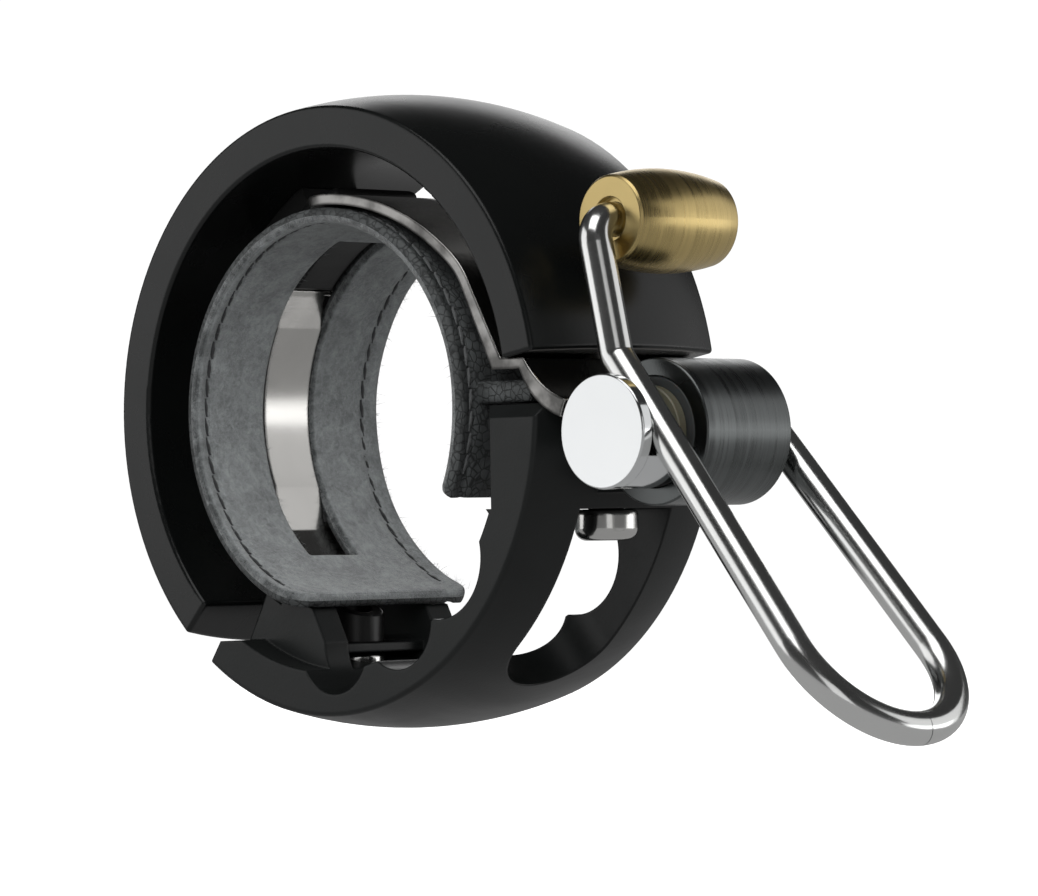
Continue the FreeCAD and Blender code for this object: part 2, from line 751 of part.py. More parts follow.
def housing_screws():
    """Two small cap screws from inside the block into the spring housing."""
    screws = []
    for place in SMALL_SCREWS.values():
        head = doc.addObject("Part::Cylinder", "screw_head")
        head.setExpression("Radius", bind("small_head_radius"))
        head.setExpression("Height", bind("small_head_height"))
        head.setExpression("Placement.Base.x", bind("small_seat_x - small_head_height"))
        shank = doc.addObject("Part::Cylinder", "screw_shank")
        shank.setExpression("Radius", bind("small_shank_radius"))
        shank.setExpression("Height", bind("small_shank_length"))
        shank.setExpression("Placement.Base.x", bind("small_seat_x - 0.4"))
        socket = doc.addObject("Part::Prism", "screw_socket")
        socket.Polygon = 6
        socket.setExpression("Circumradius", bind("small_head_radius * 0.46"))
        socket.setExpression("Height", bind("1.0"))
        socket.setExpression("Placement.Base.x", bind("small_seat_x - small_head_height - 0.15"))
        for piece in (head, shank, socket):
            piece.Placement.Rotation = FreeCAD.Rotation(FreeCAD.Vector(0, 1, 0), 90)
            piece.setExpression("Placement.Base.y", bind(place))
            piece.setExpression("Placement.Base.z", bind("pivot_z"))
        whole = doc.addObject("Part::Fuse", "screw_blank")
        whole.Base = head
        whole.Tool = shank
        cut = doc.addObject("Part::Cut", "screw")
        cut.Base = whole
        cut.Tool = socket
        screws.append(cut)
    group = doc.addObject("Part::Compound", "housing_screws")
    group.Label = "housing_screws"
    group.Links = screws
    doc.recompute()


# ---------------------------------------------------------------- pivot


def seat_leg(body, leg, front, back, low, high):
    """Flat-sided groove across a turned piece, along one leg of the wire."""
    before = body.Shape.Volume
    sketch = new_sketch(body, leg + "_seat_outline", "XZ_Plane", f"0 - ({front})")
    sketch.setExpression("AttachmentOffset.Base.z", None)
    sketch.AttachmentOffset = FreeCAD.Placement(
        FreeCAD.Vector(0, 0, -size(front)),
        FreeCAD.Rotation(FreeCAD.Vector(0, 0, 1), size(leg + "_leg_angle")))
    rectangle(sketch, ("0 - 8", low), ("8", high))
    pocket = body.newObject("PartDesign::Pocket", leg + "_seat")
    pocket.Profile = sketch
    pocket.setExpression("Length", bind(f"({back}) - ({front})"))
    doc.recompute()
    check_cut(body, leg + "_seat", before)


def seat_far_leg(body):
    """Groove for the wire's end, open to the rear."""
    reach = "(wire_radius + 0.02)"
    seat_leg(body, "far", f"far_leg_side - {reach}", "collar_back + 1",
             f"far_leg_offset - {reach}", f"far_leg_offset + {reach}")


def pivot_pin():
    """Capped pin that the lever turns on, notched at the rear for the wire."""
    body = turned_piece("pivot_pin", [
        ("0", "cap_front"),
        ("cap_radius - 0.12", "cap_front"),
        ("cap_radius", "cap_front + 0.12"),
        ("cap_radius", "cap_back - 0.08"),
        ("cap_radius - 0.08", "cap_back"),
        ("pin_radius", "cap_back"),
        ("pin_radius", "collar_back"),
        ("0", "collar_back"),
    ])
    at_pivot(body)
    seat_far_leg(body)


def washer(name, outer, front, back):
    """Flat ring that runs on the pin."""
    body = turned_piece(name, [
        ("pin_radius + running", front),
        (f"{outer} - 0.1", front),
        (outer, f"{front} + 0.1"),
        (outer, f"{back} - 0.1"),
        (f"{outer} - 0.1", back),
        ("pin_radius + running", back),
    ])
    at_pivot(body)
    return body


def spring_housing():
    """Round barrel, open at the front, with a hole for the rear bush and a slot for the spring's leg."""
    body = turned_piece("spring_housing", [
        ("housing_bore", "housing_front"),
        ("housing_radius - 0.12", "housing_front"),
        ("housing_radius", "housing_front + 0.12"),
        ("housing_radius", "housing_back - 0.15"),
        ("housing_radius - 0.15", "housing_back"),
        ("rear_bush_radius + 0.02", "housing_back"),
        ("rear_bush_radius + 0.02", "housing_back - 1.3"),
        ("housing_bore", "housing_back - 1.3"),
    ])
    at_pivot(body)
    for side, place in SMALL_SCREWS.items():
        bore(body, side + "_tap", "YZ_Plane", "0 - 4", "3",
             lambda s, p=place: circle(s, (p, "0"), "small_shank_radius + thread_gap"))
    slot(body, "leg_slot", "2.0", "3.2", lambda s: rectangle(s, ("3.4", "1.9"), ("4.6", "3.0")))
    return body


def rear_bush():
    """Flanged nylon bush in the housing's rear wall."""
    body = turned_piece("rear_bush", [
        ("pin_radius + running", "housing_back - 1.6"),
        ("3.4", "housing_back - 1.6"),
        ("3.4", "housing_back - 1.32"),
        ("rear_bush_radius", "housing_back - 1.32"),
        ("rear_bush_radius", "housing_back - 0.02"),
        ("pin_radius + running", "housing_back - 0.02"),
    ])
    at_pivot(body)


def torsion_spring():
    """Coil round the pin; one leg sits in the housing's slot, the other on the pin."""
    radius = size("spring_radius")
    wire = size("spring_wire")
    pitch = size("spring_pitch")
    turns = size("spring_turns")
    helix = Part.makeHelix(pitch, pitch * turns, radius)
    section = Part.Wire(Part.makeCircle(wire, FreeCAD.Vector(radius, 0, 0), FreeCAD.Vector(0, 1, 0)))
    coil = Part.Wire(helix).makePipeShell([section], True, True)
    leg = Part.makeCylinder(wire, 1.5, FreeCAD.Vector(radius, 0, pitch * turns), FreeCAD.Vector(1, 0.12, 0))
    spring = doc.addObject("Part::Feature", "torsion_spring")
    spring.Label = "torsion_spring"
    spring.Shape = coil.fuse(leg).removeSplitter()
    turn = FreeCAD.Rotation(FreeCAD.Vector(1, 0, 0), -90)
    lean = FreeCAD.Rotation(FreeCAD.Vector(0, 1, 0), -34)
    spring.Placement = FreeCAD.Placement(
        FreeCAD.Vector(size("pivot_x"), -1.8, size("pivot_z")), lean.multiply(turn))


def lever_hub():
    """Front collar of the lever, cut back to a flat seat where the near leg crosses it."""
    body = turned_piece("lever_hub", [
        ("pin_radius + 0.01", "cap_back + 0.02"),
        ("cap_radius - 0.13", "cap_back + 0.02"),
        ("cap_radius - 0.05", "cap_back + 0.1"),
        ("cap_radius - 0.05", "hub_back - 0.1"),
        ("cap_radius - 0.15", "hub_back"),
        ("pin_radius + 0.01", "hub_back"),
    ])
    at_pivot(body)
    seat_leg(body, "near", "cap_back - 0.2", "hub_back + 0.01",
             "near_leg_offset - wire_radius - 0.03", "8")


def rear_collar():
    """Rear collar of the lever, grooved across its back for the wire's end."""
    body = turned_piece("rear_collar", [
        ("pin_radius + 0.01", "collar_front"),
        ("collar_radius - 0.15", "collar_front"),
        ("collar_radius", "collar_front + 0.15"),
        ("collar_radius", "collar_back - 0.2"),
        ("collar_radius - 0.2", "collar_back"),
        ("pin_radius + 0.01", "collar_back"),
    ])
    at_pivot(body)
    seat_far_leg(body)


# ---------------------------------------------------------------- lever wire and hammer

def leg_point(leg, along, side):
    """Point on the near or far leg: offset across from the pivot axis, then along the leg."""
    across = math.radians(size(leg + "_leg_angle"))
    offset = size(leg + "_leg_offset")
    return FreeCAD.Vector(
        size("pivot_x") + along * math.cos(across) - offset * math.sin(across),
        size(leg + "_leg_side") + side,
        size("pivot_z") + along * math.sin(across) + offset * math.cos(across),
    )


def bent_wire(corners, bends):
    """Wire of straight runs with a tangent arc at each inner corner."""
    edges = []
    start = corners[0]
    for before, corner, after, bend in zip(corners, corners[1:], corners[2:], bends):
        back = (before - corner).normalize()
        ahead = (after - corner).normalize()
        half = back.getAngle(ahead) / 2
        tangent = bend / math.tan(half)
        into = corner + back * tangent
        out = corner + ahead * tangent
        bisector = (back + ahead).normalize()
        middle = corner + bisector * (bend / math.sin(half) - bend)
        edges.append(Part.LineSegment(start, into).toShape())
        edges.append(Part.Arc(into, middle, out).toShape())
        start = out
    edges.append(Part.LineSegment(start, corners[-1]).toShape())
    return Part.Wire(edges)


def lever_wire():
    """One wire: hammer stub, arm, near leg, round finger loop, far leg into the rear collar."""
    hammer_x = size("hammer_x")
    hammer_z = size("hammer_z")
    length = size("leg_length")
    corners = [
        FreeCAD.Vector(hammer_x, 3.0, hammer_z),
        FreeCAD.Vector(hammer_x, size("near_leg_side") + 0.07, hammer_z),
        leg_point("near", -5.27, 0.2),
        leg_point("near", length, -1.05),
        leg_point("far", length, 0.6),
        leg_point("far", -2.6, 0),
    ]
    loop = (corners[4] - corners[3]).Length * 0.49
    path = bent_wire(corners, [2.1, 1.5, loop, loop])
    section = Part.Wire(Part.makeCircle(size("wire_radius"), corners[0], FreeCAD.Vector(0, 1, 0)))
    wire = doc.addObject("Part::Feature", "lever_wire")
    wire.Label = "lever_wire"
    wire.Shape = path.makePipeShell([section], True, False)
    drawn = math.pi * size("wire_radius") ** 2 * path.Length
    if abs(wire.Shape.Volume / drawn - 1) > 0.01:
        raise RuntimeError("lever_wire volume is not its section times its length")


def hammer():
    """Barrel of brass, bored from the front for the wire."""
    body = new_body("hammer")
    half = "hammer_length / 2"
    swell = "(hammer_crest - hammer_end)"
    centre = f"hammer_crest - (({half})^2 + {swell}^2) / (2 * {swell})"
    spun(body, "barrel", "XY_Plane", lambda s: outline(s, ("0", "0 - " + half), [
        ("line", ("hammer_end - 0.2", "0 - " + half)),
        ("line", ("hammer_end", "0.2 - " + half)),
        ("arc", (centre, "0"), ("hammer_end", half + " - 0.2"), 1),
        ("line", ("hammer_end - 0.2", half)),
        ("line", ("0", half)),
    ]))
    slot(body, "wire_bore", "0 - hammer_length", "3.02",
         lambda s: circle(s, ("0", "0"), "wire_radius + 0.01"))
    slot(body, "countersink", "0 - hammer_length", "0.6 - hammer_length / 2",
         lambda s: circle(s, ("0", "0"), "wire_radius + 0.45"))
    body.setExpression("Placement.Base.x", bind("hammer_x"))
    body.setExpression("Placement.Base.z", bind("hammer_z"))
    return body


# ---------------------------------------------------------------- assembly

def build():
    fill_sheet()
    bell_ring()
    bell_saddle()
    bell_screw()
    saddle_cover()
    clamp_band()
    liner()
    soften_bracket(bracket())
    screw_at("clamp_screw", "clamp_x", "port_top - 0.05", "clamp_screw_length")
    clamp_nut()
    screw_at("anchor_screw", "anchor_x", "web_bottom - 0.03", "anchor_screw_length")
    anchor_nut()
    housing_screws()
    spring_housing()
    washer("front_washer", "washer_radius", "hub_back + 0.05", "housing_front - 0.03")
    washer("front_bush", "housing_bore - 0.03", "housing_front + 0.02", "housing_front + 1.6")
    rear_bush()
    torsion_spring()
    washer("rear_washer", "washer_radius", "housing_back + 0.03", "collar_front - 0.04")
    pivot_pin()
    lever_wire()
    lever_hub()
    rear_collar()
    hammer()


NODES = [
    "bell_ring", "bell_saddle", "bell_screw", "saddle_cover", "clamp_band", "liner", "bracket",
    "clamp_screw", "clamp_nut", "anchor_screw", "anchor_nut", "housing_screws",
    "spring_housing", "front_washer", "front_bush", "rear_bush", "rear_washer",
    "torsion_spring", "pivot_pin", "lever_hub", "rear_collar", "lever_wire",
    "hammer",
]


def check_document():
    for item in doc.Objects:
        if {"Invalid", "Error"} & set(item.State):
            raise RuntimeError(f"{item.Name} is {item.State}")


def write_parts():
    os.makedirs("parts", exist_ok=True)
    for name in NODES:
        item = doc.getObjectsByLabel(name)[0]
        shape = item.Shape
        if shape.isNull() or not shape.isValid():
            raise RuntimeError(f"{name} has no valid shape")
        shape.exportStep(f"parts/{name}.step")
        print(f"{name}: {len(shape.Solids)} solid, {shape.Volume:.1f} mm3")


build()
doc.recompute()
check_document()
write_parts()
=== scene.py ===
import math
import random

import bmesh
import bpy
from mathutils import Matrix, Vector


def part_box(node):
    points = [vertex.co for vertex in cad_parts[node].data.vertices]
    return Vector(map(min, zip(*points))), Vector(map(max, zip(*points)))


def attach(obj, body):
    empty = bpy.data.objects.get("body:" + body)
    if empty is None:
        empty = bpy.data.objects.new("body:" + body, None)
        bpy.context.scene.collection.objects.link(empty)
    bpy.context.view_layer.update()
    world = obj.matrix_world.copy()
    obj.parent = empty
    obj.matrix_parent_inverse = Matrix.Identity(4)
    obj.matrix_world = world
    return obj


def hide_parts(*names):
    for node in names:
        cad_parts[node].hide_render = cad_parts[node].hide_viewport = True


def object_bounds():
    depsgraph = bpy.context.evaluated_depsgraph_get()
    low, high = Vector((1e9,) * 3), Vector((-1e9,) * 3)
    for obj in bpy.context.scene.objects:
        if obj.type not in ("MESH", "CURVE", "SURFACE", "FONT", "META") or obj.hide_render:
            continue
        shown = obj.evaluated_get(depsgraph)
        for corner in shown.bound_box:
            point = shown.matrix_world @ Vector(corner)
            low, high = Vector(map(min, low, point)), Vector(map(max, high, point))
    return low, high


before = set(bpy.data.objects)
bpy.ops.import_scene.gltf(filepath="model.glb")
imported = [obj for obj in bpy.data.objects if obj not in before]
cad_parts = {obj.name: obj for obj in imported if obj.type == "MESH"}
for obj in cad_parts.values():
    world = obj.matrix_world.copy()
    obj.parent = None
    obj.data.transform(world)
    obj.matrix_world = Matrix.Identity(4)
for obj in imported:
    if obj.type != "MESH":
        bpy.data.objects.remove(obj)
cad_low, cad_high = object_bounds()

# Bicycle bell on its studio floor, in metres. The frame's origin is the centre of
# the handlebar bore; Y runs along the handlebar, Z is up, X points at the lever.

MM = 0.001

# liner, from the frame
LINER_LOW, LINER_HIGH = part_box("liner")
BAR_RADIUS = 15.9 * MM
LINER_OUTER = abs(LINER_LOW.x)
LINER_MIDDLE = (BAR_RADIUS + LINER_OUTER) / 2
LINER_THICK = LINER_OUTER - BAR_RADIUS
LINER_HALF = LINER_HIGH.y
LINER_START = math.radians(-27)
LINER_END = math.radians(257)
SLOT_START = math.radians(112)
SLOT_END = math.radians(229.5)
SLOT_HALF = 2.725 * MM
SLOT_CORNER = 1.0 * MM
FIRST_CORNER = 1.0 * MM
LAST_CORNER = 2.5 * MM
EDGE_ROUND = 0.42 * MM
TAB_LOW = 0.12 * MM
TAB_HIGH = 1.93 * MM
TAB_HALF = 9.0 * MM
TAB_REACH = LINER_HIGH.x
NOTCH_HALF = 3.5 * MM
NOTCH_START = 18.4 * MM
TAB_ROOT = 0.5 * MM
WAVE_HEIGHT = 0.035 * MM
STRIP_SPACING = 0.42 * MM
TAB_SPACING = 0.45 * MM
NOTCH_SPACING = 0.6 * MM
WELD_REACH = 0.002 * MM

# stitching
FRONT_ROW = -9.55 * MM
REAR_ROW = 8.9 * MM
STITCH_PITCH = 1.75 * MM
STITCH_LENGTH = 1.62 * MM
THREAD_RADIUS = 0.17 * MM
GROOVE_DEPTH = 0.24 * MM
GROOVE_WIDTH = 0.30 * MM
FIRST_STITCH = 2.2 * MM
LAST_STITCH = 2.3 * MM
STITCH_LEAN = 0.24 * MM
STITCH_RISE = 0.15 * MM
THREAD_SIDES = 8
STITCH_PARTS = 8

# loose fibres
SKIN_FIBRES = 1500
EDGE_FIBRES = 420
SLOT_FIBRES = 260
FIBRE_PARTS = 5

# studio
FLOOR_DROP = 22 * MM
BOUNCE_DROP = 5 * MM
FLOOR_HALF = 3.0
SHELL_RADIUS = 4.5

# axes that turned pieces share, from the frame
PIN_LOW, PIN_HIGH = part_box("pivot_pin")
PIVOT = (PIN_LOW + PIN_HIGH) / 2
HAMMER_LOW, HAMMER_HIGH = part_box("hammer")
HAMMER = (HAMMER_LOW + HAMMER_HIGH) / 2


# ---------------------------------------------------------------- node helpers


def new_material(name):
    material = bpy.data.materials.new(name)
    material.use_nodes = True
    tree = material.node_tree
    return material, tree, tree.nodes["Principled BSDF"]


def add(tree, kind, sockets=None, **settings):
    """New node with its settings, and values or links for its inputs."""
    made = tree.nodes.new("ShaderNode" + kind)
    for key, value in settings.items():
        setattr(made, key, value)
    for key, value in (sockets or {}).items():
        if isinstance(value, bpy.types.NodeSocket):
            tree.links.new(value, made.inputs[key])
        else:
            made.inputs[key].default_value = value
    return made


def place(tree, scale=(1, 1, 1), centre=(0, 0, 0)):
    """Object coordinates about a centre, scaled along each axis."""
    coordinates = add(tree, "TexCoord").outputs["Object"]
    moved = add(tree, "VectorMath", {0: coordinates, 1: centre}, operation="SUBTRACT")
    scaled = add(tree, "VectorMath", {0: moved.outputs[0], 1: scale}, operation="MULTIPLY")
    return scaled.outputs[0]


def noise(tree, where, scale, detail=3.0, rough=0.55, distortion=0.0):
    sockets = {"Vector": where, "Scale": scale, "Detail": detail, "Roughness": rough,
               "Distortion": distortion}
    return add(tree, "TexNoise", sockets).outputs["Fac"]


def cells(tree, where, scale, feature="F1"):
    sockets = {"Vector": where, "Scale": scale}
    return add(tree, "TexVoronoi", sockets, feature=feature).outputs["Distance"]


def remap(tree, value, low, high, to_low, to_high):
    sockets = {"Value": value, "From Min": low, "From Max": high, "To Min": to_low,
               "To Max": to_high}
    return add(tree, "MapRange", sockets).outputs["Result"]


def blend_colours(tree, factor, first, second):
    """Colour that runs from first to second as factor goes from 0 to 1."""
    ramp = add(tree, "ValToRGB", {"Fac": factor})
    ramp.color_ramp.elements[0].color = (*first, 1)
    ramp.color_ramp.elements[1].color = (*second, 1)
    return ramp.outputs["Color"]


def combine(tree, operation, first, second):
    return add(tree, "Math", {0: first, 1: second}, operation=operation).outputs[0]


def raised(tree, base, extra, share):
    """Base plus a share of the extra."""
    return combine(tree, "ADD", base, combine(tree, "MULTIPLY", extra, share))


def mixed(tree, first, first_share, second, second_share):
    """Sum of a share of each value."""
    return raised(tree, combine(tree, "MULTIPLY", first, first_share), second, second_share)


def bump(tree, height, distance, strength=1.0, under=None):
    sockets = {"Height": height, "Distance": distance, "Strength": strength}
    if under is not None:
        sockets["Normal"] = under
    return add(tree, "Bump", sockets).outputs["Normal"]


def sideways(tree, low, high):
    """0 on faces round the bar's axis, rising to 1 on faces that look along it."""
    normal = add(tree, "TexCoord").outputs["Normal"]
    along = add(tree, "SeparateXYZ", {0: normal}).outputs["Y"]
    return remap(tree, combine(tree, "ABSOLUTE", along, 0), low, high, 0, 1)


def rounded(tree, radius):
    """Normals that run softly over the edges, as if each were rounded to the radius."""
    return add(tree, "Bevel", {"Radius": radius}, samples=8).outputs["Normal"]


def wire_up(tree, shader, **links):
    """Link or set the shader's inputs; an underscore stands for a space."""
    for key, value in links.items():
        socket = shader.inputs[key.replace("_", " ")]
        if isinstance(value, bpy.types.NodeSocket):
            tree.links.new(value, socket)
        else:
            socket.default_value = value


# ---------------------------------------------------------------- materials


def coated_black(name, tone, roughness):
    """Satin coating on metal: fine orange peel, faint cloudiness and specks of dust."""
    material, tree, shader = new_material(name)
    here = place(tree)
    cloud = noise(tree, here, 90, 4)
    dust = remap(tree, noise(tree, here, 1500, 2), 0.66, 0.8, 0, 1)
    shade = mixed(tree, cloud, 0.8, dust, 0.3)
    dark = tuple(0.75 * c for c in tone)
    light = tuple(1.3 * c for c in tone)
    peel = noise(tree, here, 2600, 2)
    wire_up(tree, shader,
            Base_Color=blend_colours(tree, shade, dark, light),
            Roughness=remap(tree, cloud, 0.3, 0.7, roughness - 0.03, roughness + 0.04),
            Normal=bump(tree, peel, 0.004 * MM, 1.0, rounded(tree, 0.25 * MM)),
            Specular_IOR_Level=0.36)
    return material


def moulded_black(name, tone, roughness):
    """Glass-filled nylon: fine spark-eroded texture with flow marks."""
    material, tree, shader = new_material(name)
    here = place(tree)
    flow = noise(tree, place(tree, (1, 0.4, 1)), 160, 5, 0.6, 0.8)
    sparks = noise(tree, here, 3800, 3)
    dark = tuple(0.7 * c for c in tone)
    light = tuple(1.35 * c for c in tone)
    coarse = bump(tree, flow, 0.02 * MM, 0.5, rounded(tree, 0.3 * MM))
    wire_up(tree, shader,
            Base_Color=blend_colours(tree, flow, dark, light),
            Roughness=remap(tree, flow, 0.3, 0.7, roughness - 0.05, roughness + 0.05),
            Normal=bump(tree, sparks, 0.008 * MM, 1.0, coarse),
            Specular_IOR_Level=0.28)
    return material


def polished_steel(name, tone, roughness):
    """Polished steel: drawing lines, smudges and a few short scratches."""
    material, tree, shader = new_material(name)
    here = place(tree)
    smudge = noise(tree, here, 130, 4, 0.6, 0.5)
    lines = noise(tree, here, 1400, 3)
    borders = cells(tree, place(tree, (1, 0.15, 1)), 900, "DISTANCE_TO_EDGE")
    scratch = remap(tree, borders, 0, 0.02, 1, 0)
    height = raised(tree, lines, scratch, -0.25)
    dark = tuple(0.94 * c for c in tone)
    wire_up(tree, shader, Metallic=1.0,
            Base_Color=blend_colours(tree, smudge, dark, tone),
            Roughness=remap(tree, smudge, 0.3, 0.7, roughness, roughness + 0.06),
            Normal=bump(tree, height, 0.0016 * MM, 1.0, rounded(tree, 0.15 * MM)))
    return material


def sheared_steel(name, tone, roughness, edge):
    """Polished strip whose cut edges are much darker, duller and mottled."""
    material, tree, shader = new_material(name)
    here = place(tree)
    smudge = noise(tree, here, 130, 4, 0.6, 0.5)
    lines = noise(tree, place(tree, (1, 0.12, 1)), 1400, 3)
    cut = sideways(tree, 0.75, 0.97)
    edge_mottle = remap(tree, noise(tree, here, 420, 3), 0.35, 0.65, 0.35, 0.85)
    # The cut edges, faces that look along the bar, are made much darker in the colour, in a
    # mottle.
    shade = combine(tree, "SUBTRACT", remap(tree, smudge, 0.3, 0.7, 0.92, 1.0),
                    combine(tree, "MULTIPLY", cut, edge_mottle))
    dark = tuple(0.12 * c for c in tone)
    dull = combine(tree, "MULTIPLY", cut, 0.14)
    rough = remap(tree, smudge, 0.3, 0.7, roughness, roughness + 0.06)
    wire_up(tree, shader, Metallic=1.0,
            Base_Color=blend_colours(tree, shade, dark, tone),
            Roughness=combine(tree, "ADD", rough, dull),
            Normal=bump(tree, lines, 0.0016 * MM, 1.0, rounded(tree, edge)))
    return material


def turned_metal(name, tone, roughness, centre, depth, contrast):
    """Metal turned or brushed round an axis along Y: rings of fine lines."""
    material, tree, shader = new_material(name)
    fine = noise(tree, place(tree, (60, 1800, 60), centre), 1.0, 4, 0.7)
    broad = noise(tree, place(tree, (25, 500, 25), centre), 1.0, 2)
    rings = mixed(tree, fine, 0.65, broad, 0.35)
    dark = tuple((1 - contrast) * c for c in tone)
    light = tuple(min(1.0, (1 + contrast * 0.6) * c) for c in tone)
    around = add(tree, "Tangent", direction_type="RADIAL", axis="Y").outputs["Tangent"]
    wire_up(tree, shader, Metallic=1.0, Anisotropic=0.55, Tangent=around,
            Base_Color=blend_colours(tree, remap(tree, rings, 0.35, 0.65, 0, 1), dark, light),
            Roughness=remap(tree, rings, 0.35, 0.65, roughness - 0.05, roughness + 0.07),
            Normal=bump(tree, rings, depth, 1.0, rounded(tree, 0.12 * MM)))
    return material


def moulded_nylon(name, tone, roughness):
    """Plain nylon: milky mottling and a soft skin."""
    material, tree, shader = new_material(name)
    here = place(tree)
    milk = noise(tree, here, 700, 4)
    dark = tuple(0.8 * c for c in tone)
    wire_up(tree, shader, Subsurface_Weight=0.08, Subsurface_Scale=0.4 * MM,
            Base_Color=blend_colours(tree, milk, dark, tone),
            Roughness=remap(tree, milk, 0.3, 0.7, roughness - 0.06, roughness + 0.06),
            Normal=bump(tree, noise(tree, here, 3000, 3), 0.006 * MM))
    return material


def layers(tree, here, scale):
    """Fine lines round the bar's axis, seen where the strip is cut through."""
    parts = add(tree, "SeparateXYZ", {0: here}).outputs
    flat = add(tree, "CombineXYZ", {0: parts["X"], 1: parts["Z"]}).outputs[0]
    reach = add(tree, "VectorMath", {0: flat}, operation="LENGTH").outputs["Value"]
    line = add(tree, "CombineXYZ", {0: reach}).outputs[0]
    return noise(tree, line, scale, 2)


def suede():
    """Napped inner side: mottled grey with short matted fibres, and painted shade on the strip's
    rounded edges.
    """
    material, tree, shader = new_material("suede_grey")
    here = place(tree)
    patches = noise(tree, here, 330, 5, 0.7, 0.6)
    nap = noise(tree, here, 1700, 6, 0.85, 0.5)
    specks = noise(tree, here, 5200, 2, 0.6)
    shade = mixed(tree, patches, 0.42, nap, 0.58)
    lift = remap(tree, shade, 0.41, 0.61, 0.38, 1)
    # Painted shade: faces that look along the bar, on the strip's rounded edges, are darkened in
    # the colour.
    painted_edge_shade = combine(tree, "MULTIPLY", sideways(tree, 0.3, 0.85), 0.5)
    lift = combine(tree, "SUBTRACT", lift, painted_edge_shade)
    height = raised(tree, nap, specks, 0.5)
    height = raised(tree, height, layers(tree, here, 5200), 1.3)
    wire_up(tree, shader,
            Base_Color=blend_colours(tree, lift, (0.05, 0.054, 0.055), (0.34, 0.36, 0.364)),
            Roughness=remap(tree, nap, 0.3, 0.7, 0.86, 1.0),
            Normal=bump(tree, height, 0.16 * MM),
            Specular_IOR_Level=0.12)
    shader.inputs["Sheen Weight"].default_value = 0.35
    shader.inputs["Sheen Roughness"].default_value = 0.5
    return material


def leather():
    """Grained outer side: dark grey pebbles with creases, with painted shade in the creases."""
    material, tree, shader = new_material("leather_dark")
    here = place(tree)
    pebbles = cells(tree, here, 2100, "SMOOTH_F1")
    creases = cells(tree, here, 1500, "DISTANCE_TO_EDGE")
    tone = noise(tree, here, 420, 4)
    # Mask that is 0 in the creases: it sinks them in the bump and darkens them in the colour as
    # painted shade.
    crease_relief_and_shade = remap(tree, creases, 0.0, 0.12, 0, 1)
    height = combine(tree, "ADD", combine(tree, "MULTIPLY", pebbles, -0.5), crease_relief_and_shade)
    height = raised(tree, height, layers(tree, here, 6500), 2.2)
    # Painted shade: the creases are darkened here.
    shade = combine(tree, "MULTIPLY", remap(tree, tone, 0.3, 0.7, 0.3, 1.0), crease_relief_and_shade)
    wire_up(tree, shader,
            Base_Color=blend_colours(tree, shade, (0.016, 0.017, 0.017), (0.085, 0.091, 0.092)),
            Roughness=remap(tree, tone, 0.3, 0.7, 0.46, 0.62),
            Normal=bump(tree, height, 0.03 * MM),
            Specular_IOR_Level=0.4)
    return material


def thread(name, dark, light):
    """Waxed sewing thread with a twist."""
    material, tree, shader = new_material(name)
    here = place(tree)
    twist = noise(tree, here, 5200, 2)
    wire_up(tree, shader,
            Base_Color=blend_colours(tree, twist, dark, light),
            Roughness=remap(tree, twist, 0.3, 0.7, 0.5, 0.75),
            Normal=bump(tree, twist, 0.03 * MM))
    shader.inputs["Sheen Weight"].default_value = 0.2
    return material


def paint(node, material):
    """The material, alone, on a CAD node."""
    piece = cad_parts[node]
    piece.data.materials.clear()
    piece.data.materials.append(material)


def paint_nodes():
    """A material of its kind on every CAD node but the liner."""
    paint("bell_ring", coated_black("ring_black", (0.0036, 0.0042, 0.0041), 0.27))
    saddle = moulded_black("saddle_black", (0.010, 0.010, 0.010), 0.42)
    paint("bell_saddle", saddle)
    paint("saddle_cover", saddle)
    paint("bracket", moulded_black("bracket_black", (0.0075, 0.0084, 0.0083), 0.34))
    paint("clamp_band", sheared_steel("band_steel", (0.58, 0.57, 0.55), 0.15, 0.4 * MM))
    oxide = coated_black("screw_black", (0.012, 0.012, 0.012), 0.32)
    for node in ("bell_screw", "housing_screws", "anchor_nut"):
        paint(node, oxide)
    bright = polished_steel("screw_steel", (0.66, 0.655, 0.64), 0.13)
    for node in ("clamp_screw", "clamp_nut", "anchor_screw"):
        paint(node, bright)
    anodised = turned_metal("housing_black", (0.135, 0.143, 0.143), 0.27, PIVOT, 0.004 * MM, 0.35)
    paint("spring_housing", anodised)
    washer = moulded_nylon("washer_tan", (0.125, 0.118, 0.082), 0.45)
    paint("front_washer", washer)
    paint("rear_washer", washer)
    dull = moulded_nylon("bush_black", (0.03, 0.032, 0.032), 0.45)
    paint("front_bush", dull)
    paint("rear_bush", dull)
    paint("torsion_spring", polished_steel("spring_steel", (0.5, 0.5, 0.5), 0.25))
    chrome = polished_steel("pin_chrome", (0.80, 0.815, 0.82), 0.07)
    for node in ("pivot_pin", "lever_hub", "rear_collar"):
        paint(node, chrome)
    paint("lever_wire", polished_steel("wire_steel", (0.84, 0.845, 0.835), 0.15))
    brass = turned_metal("hammer_brass", (0.60, 0.46, 0.20), 0.27, HAMMER, 0.006 * MM, 0.22)
    paint("hammer", brass)


# ---------------------------------------------------------------- mesh helpers


def mesh_object(name, points, faces, material, body, smooth=True):
    mesh = bpy.data.meshes.new(name)
    mesh.from_pydata(points, [], faces)
    mesh.validate()
    mesh.update()
    piece = bpy.data.objects.new(name, mesh)
    bpy.context.scene.collection.objects.link(piece)
    mesh.materials.append(material)
    mesh.polygons.foreach_set("use_smooth", [smooth] * len(mesh.polygons))
    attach(piece, body)
    return piece


def steps(start, end, count):
    return [start + (end - start) * i / count for i in range(count + 1)]


